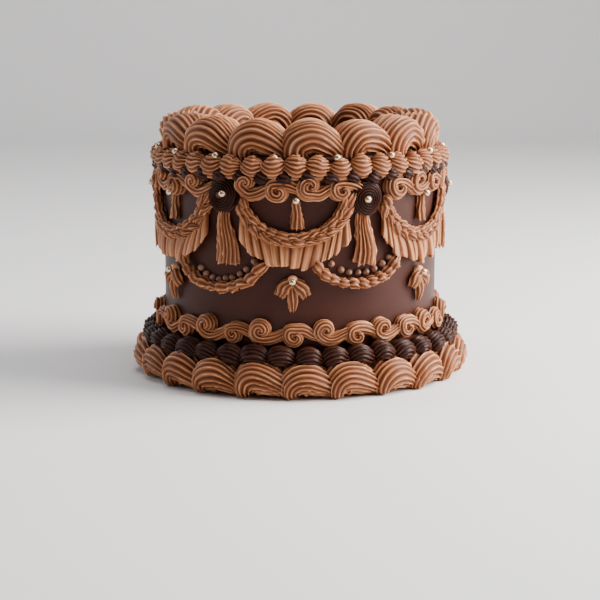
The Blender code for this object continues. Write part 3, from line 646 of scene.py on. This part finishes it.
def ruffle(heap, middle, place, reach, low, pleats):
    """Pleated strip hung from the rope, fanned out at its ends, each pleat softly curled."""
    per_pleat = 12
    rows = 18
    down = np.linspace(0.0, 1.0, rows)[:, None]
    wide = draw.uniform(0.75, 1.25, pleats)
    bounds = np.concatenate([[0.0], np.cumsum(wide)]) / wide.sum() * pleats
    fold = np.linspace(0.0, pleats, pleats * per_pleat, endpoint=False) + 0.5 / per_pleat
    index = np.clip(np.searchsorted(bounds, fold, side="right") - 1, 0, pleats - 1)
    local = (fold - bounds[index]) / (bounds[index + 1] - bounds[index])
    share = fold / pleats * 2.0 - 1.0
    lean = draw.uniform(-2.0, 2.0, pleats)[index]
    curl = draw.uniform(-1.0, 1.0, pleats)[index]
    longer = draw.uniform(-1.6, 1.4, pleats)[index]
    height = draw.uniform(0.75, 1.2, pleats)[index]
    skew = 0.17 + 0.05 * draw.uniform(-1.0, 1.0, pleats)[index]
    climb = np.sin(np.pi / 2 * np.clip(local / skew, 0.0, 1.0)) ** 0.8
    slope = np.clip((local - skew) / (1.0 - skew), 0.0, 1.0)
    tube = np.where(local < skew, climb, 1.0 - 0.22 * slope - 0.50 * slope ** 6)
    tube = tube + 0.06 * np.cos(2 * np.pi * (2.5 * local + 0.6 * lean))
    edge = np.abs(share)
    offset_top, z_top = place(share)
    offset_hem = (reach + 1.8) * share * (1.0 - 0.06 * edge)
    z_hem = low - RUFFLE_DROP + 17.5 * edge ** 2.8 - tube + longer
    z_top = np.minimum(z_top, RUFFLE_TOP)
    easing = down + 0.10 * np.sin(np.pi * down) * curl
    offset = offset_top * (1 - easing) + offset_hem * easing + lean * down * 0.55
    z = z_top * (1 - down) + z_hem * down
    swell = 0.35 + 0.80 * down ** 0.7
    radius = 81.6 + 0.9 * (np.sin(np.pi * down) + down) + 3.0 * tube * height * swell + curl * down ** 4
    front = wall(middle + offset, radius, z)
    back = wall(middle + offset, np.maximum(radius - 1.3, WALL_SKIN), z + 0.3 * down)
    rings = np.concatenate([front, back[::-1]], axis=0)
    # Painted shade in the creases between pleats and more of it towards the top of the strip; the pleat faces
    # get painted highlight
    shade = np.clip(0.16 + (1.0 - tube) * 1.25 + 0.25 * (1 - down), 0.0, 1.0)
    groove = np.concatenate([shade, shade[::-1]], axis=0)
    sheet(heap, rings.transpose(1, 0, 2), groove.T)


def make_swags(materials):
    """A ruffle and its rope from each rosette to the next."""
    for number, ((_, middle, half), low) in enumerate(zip(spans(), SWAG_LOWS), 1):
        place, reach = swag_curve(half, low)
        heap = Heap()
        ruffle(heap, middle, place, reach, low, SWAG_PLEATS)
        rope(heap, middle, place, SWAG_SHELLS)
        heap.build(f"swag_strokes_{number}", materials["light"], [f"swag_{number}"])


def along_curve(place, count):
    """Even places along a hanging curve: angle, height and slope for each, and their step."""
    share = np.linspace(-1.0, 1.0, 400)
    offset, z = place(share)
    x = np.radians(offset) * PIPING_RADIUS
    length = np.concatenate([[0.0], np.cumsum(np.hypot(np.diff(x), np.diff(z)))])
    where = (np.arange(count) + 0.5) / count * length[-1]
    slope = np.arctan2(np.gradient(z), np.gradient(x))
    return (np.interp(where, length, offset), np.interp(where, length, z),
            np.interp(where, length, slope), length[-1] / count)


def rope(heap, middle, place, count):
    """Two rows of small ridged shells that follow the swag."""
    angles, heights, slopes, step = along_curve(place, count)
    for lift, shift, slant in ((1.9, 0.0, 7.0), (-1.5, 0.5, -9.0)):
        for at, z, slope in zip(angles, heights, slopes):
            small_shell(heap, middle + at, z + 0.4, slope + draw.uniform(-0.15, 0.15), step, lift,
                        draw.uniform(0.9, 1.15), shift, 2.5, slant)


def small_shell(heap, at, z, slope, step, lift, size, shift, half, slant):
    """One short shell on a rope, slanted across the rope's slope.

    Lift moves it across the rope in mm, shift along it in steps, and half is its size.
    """
    cos, sin = math.cos(slope), math.sin(slope)
    turn = slope + math.radians(slant + draw.uniform(-6.0, 6.0))
    along, across = math.cos(turn), math.sin(turn)
    centre_u = shift * step
    knots = []
    for reach, rise, out, tall in SMALL_SHELL:
        u = reach * step
        v = rise * half + draw.uniform(-0.12, 0.12)
        knots.append((centre_u * cos - lift * sin + u * along - v * across,
                      centre_u * sin + lift * cos + u * across + v * along,
                      83.2 + 0.3 * half, out * half * size, tall * half * size))
    stroke(heap, knots, at, z, ridges=5, groove=1.15, arc=(-108.0, 108.0), steps=11,
           start_round=0.28, tips=1.0, swirl=0.3)


def loop_curve(span, low):
    """Loop as a function of share, with its half span in degrees and its lowest height."""
    def place(share):
        dip = np.sqrt(np.clip(1.0 - 0.97 * share ** 2, 0.0, 1.0))
        return span * share, LOOP_TOP - (LOOP_TOP - low) * dip
    return place


def dots(heap, middle, count, low, bend, tilt):
    """Row of small dots on the wall, along a curve that rises to its ends."""
    for side in np.linspace(-1.0, 1.0, count):
        side = side + draw.uniform(-0.02, 0.02)
        z = low + bend * abs(side) ** 2.2 + tilt * side + draw.uniform(-0.25, 0.25)
        at = middle + side * DOT_SPREAD
        ball(heap, wall(at, BODY_RADIUS + 0.9, z), wall(at, 1.0, 0.0), draw.uniform(1.8, 2.1),
             rings=12, sides=16, point=0.3)


def make_loops(materials):
    """Loops of small shells, each with a row of dots; the one at the front left is wider and lower."""
    beads = Heap()
    for number in LOOPED_ROSETTES:
        angle = ROSETTE_ANGLES[number - 1]
        place = loop_curve(18.8, 60.2) if number == 2 else loop_curve(17.0, 63.2)
        middle = angle - (3.0 if number == 3 else 2.0)
        heap = Heap()
        angles, heights, slopes, step = along_curve(place, LOOP_SHELLS)
        for at, z, slope in zip(angles, heights, slopes):
            small_shell(heap, middle + at, z - 0.6, slope + draw.uniform(-0.2, 0.2), step, 0.0,
                        draw.uniform(0.88, 1.14), 0.0, 3.2, draw.uniform(-18.0, 8.0))
        heap.build(f"loop_strokes_{number}", materials["light"], [f"loop_{number}"])
        if number == 2:
            dots(beads, angle + 0.2, 9, 64.5, 8.0, 3.4)
        else:
            dots(beads, angle - (0.9 if number == 3 else 0.0), 8, 68.8, 6.6, 0.8)
    beads.build("wall_dots", materials["dots"], ["cake_body"])


def make_motifs(materials):
    """Drop tassels under the upper scroll and fleurs low on the wall, mid-swag."""
    side = (2.4, 3.6, 4.3, 4.2, 3.4)
    lobes = ((0.0, 15.6, (2.0, 2.9, 3.5, 3.7, 3.2, 2.2), 0.0, 82.0), (74.0, 9.8, side, 0.40, 82.5),
             (-74.0, 9.8, side, 0.40, 82.5))
    for number, (_, middle, _) in enumerate(spans(), 1):
        drop = Heap()
        hanging(drop, middle + DROP_SHIFT, DROP_TOP, DROP_LENGTH, (2.9, 3.3, 3.8, 4.4), 5, 1.3, depth=0.68,
                tips=2.4, lean=draw.uniform(-3, 3))
        drop.build(f"drop_strokes_{number}", materials["light"], [f"drop_{number}"])
        fleur = Heap()
        at = middle + FLEUR_SHIFT
        for lean, length, halves, curve, radius in lobes:
            hanging(fleur, at, FLEUR_HEIGHT, length, halves, 5, 1.15, depth=0.66, lean=lean, tips=1.8,
                    bulge=1.2, start=0.2, curve=curve, radius=radius)
        ball(fleur, wall(at, 82.6, FLEUR_HEIGHT + 0.8), wall(at, 1.0, 0.0), 3.1)
        fleur.build(f"fleur_strokes_{number}", materials["light"], [f"fleur_{number}"])


def make_pearls(materials):
    """Gold pearls at the joints of the swirls and on the rosettes, drops and fleurs."""
    heap = Heap()
    for index in range(SWIRL_COUNT):
        at = SWIRL_PEARL_PHASE + 360.0 / SWIRL_COUNT * index + draw.uniform(-0.6, 0.6)
        ball(heap, wall(at, 84.0, BODY_HEIGHT - 0.2), wall(at, 1.0, 0.4), PEARL)
    for (angle, middle, _), shift, z in zip(spans(), ROSETTE_PEARL_SHIFTS, ROSETTE_PEARL_HEIGHTS):
        ball(heap, wall(angle + shift, 88.6, z), wall(angle + shift, 1.0, 0.0), PEARL)
        ball(heap, wall(middle + DROP_SHIFT, 86.2, DROP_TOP + 0.4), wall(middle, 1.0, 0.0), PEARL)
        ball(heap, wall(middle + FLEUR_SHIFT, 86.0, FLEUR_HEIGHT + 0.4), wall(middle, 1.0, 0.0), PEARL)
    numbers = range(1, len(ROSETTE_ANGLES) + 1)
    carriers = [f"{kind}_{number}" for kind in ("rosette", "drop", "fleur") for number in numbers]
    heap.build("pearls", materials["pearl"], ["top_swirls"] + carriers)


def make_stage():
    """Pale floor that curves up into a pale backdrop."""
    bend = np.radians(np.linspace(0.0, 90.0, 16))
    y = np.concatenate([[-2500.0, -600.0, 0.0, 900.0], 1500.0 + STAGE_BEND * np.sin(bend), [2000.0]])
    z = np.concatenate([[0.0, 0.0, 0.0, 0.0], STAGE_BEND - STAGE_BEND * np.cos(bend), [STAGE_HEIGHT]])
    verts = [(x * MM, float(a) * MM, float(b) * MM) for a, b in zip(y, z) for x in (-STAGE_HALF, STAGE_HALF)]
    faces = [(2 * i, 2 * i + 1, 2 * i + 3, 2 * i + 2) for i in range(len(y) - 1)]
    data = bpy.data.meshes.new("floor")
    data.from_pydata(verts, [], faces)
    data.shade_smooth()
    material, _, shader = node_tree("floor_paint")
    set_inputs(shader, Base_Color=(0.86, 0.855, 0.86, 1.0), Roughness=0.7)
    data.materials.append(material)
    floor = bpy.data.objects.new("floor", data)
    bpy.context.scene.collection.objects.link(floor)


def area_light(name, place, target, size, power, colour):
    """Rectangular light at a place in metres, aimed at a target, with its power in watts."""
    data = bpy.data.lights.new(name, "AREA")
    data.shape = "RECTANGLE"
    data.size, data.size_y = size
    data.energy = power
    data.color = colour
    lamp = bpy.data.objects.new(name, data)
    lamp.location = place
    aim = np.array(target) - np.array(place)
    lamp.rotation_euler = Vector(aim).to_track_quat("-Z", "Y").to_euler()
    bpy.context.scene.collection.objects.link(lamp)


def make_lights():
    """Broad soft daylight from the right and above, with a cool weak fill from the left."""
    area_light("window", (0.95, -0.02, 0.62), (0.0, 0.0, 0.09), (0.9, 0.9), 51.0, (1.0, 0.96, 0.92))
    area_light("sky", (0.1, 0.1, 1.7), (0.0, 0.0, 0.1), (1.4, 1.4), 18.0, (1.0, 0.98, 0.96))
    area_light("front", (1.1, -1.7, 1.2), (0.0, 0.0, 0.08), (1.2, 1.0), 3.0, (1.0, 0.97, 0.95))
    area_light("fill", (-1.6, 0.35, 0.55), (0.0, 0.0, 0.08), (1.2, 1.2), 12.0, (0.92, 0.95, 1.0))
    world = bpy.data.worlds.new("room")
    world.use_nodes = True
    set_inputs(world.node_tree.nodes["Background"], Color=(0.83, 0.82, 0.83, 1.0), Strength=0.13)
    bpy.context.scene.world = world


def make_camera():
    """Camera in front of the cake, at its fitted place."""
    data = bpy.data.cameras.new("camera")
    data.sensor_fit = "HORIZONTAL"
    data.sensor_width = 36.0
    data.lens = CAMERA_LENS
    camera = bpy.data.objects.new("camera", data)
    camera.location = (0.0, -CAMERA_DISTANCE * MM, CAMERA_HEIGHT * MM)
    camera.rotation_euler = (math.radians(90.0 - CAMERA_PITCH), 0.0, 0.0)
    bpy.context.scene.collection.objects.link(camera)
    bpy.context.scene.camera = camera


materials = {
    # Each cream: painted highlight at the crests, its own colour, painted shade in the valleys
    "light": buttercream("milk_cream", (0.93, 0.490, 0.260), (0.42, 0.162, 0.070), (0.104, 0.029, 0.0100),
                         roughness=0.46, coat=0.05, scatter=0.08, gloss=0.14),
    "dots": buttercream("dot_cream", (0.27, 0.128, 0.078), (0.23, 0.104, 0.060), (0.155, 0.063, 0.037),
                        roughness=0.32, coat=0.40, scatter=0.06, gloss=0.45),
    "dark": buttercream("dark_cream", (0.125, 0.042, 0.025), (0.050, 0.0150, 0.0085), (0.010, 0.0028, 0.0016),
                        roughness=0.36, coat=0.12, scatter=0.02, gloss=0.06),
    "body": body_cream(),
    "pearl": pearl_coat(),
}
make_camera()
make_lights()
make_stage()
make_body(materials)
make_top_swirls(materials)
make_rim_shells(materials)
make_scrolls(materials)
make_foot(materials)
make_rosettes(materials)
make_tassels(materials)
make_swags(materials)
make_loops(materials)
make_motifs(materials)
make_pearls(materials)
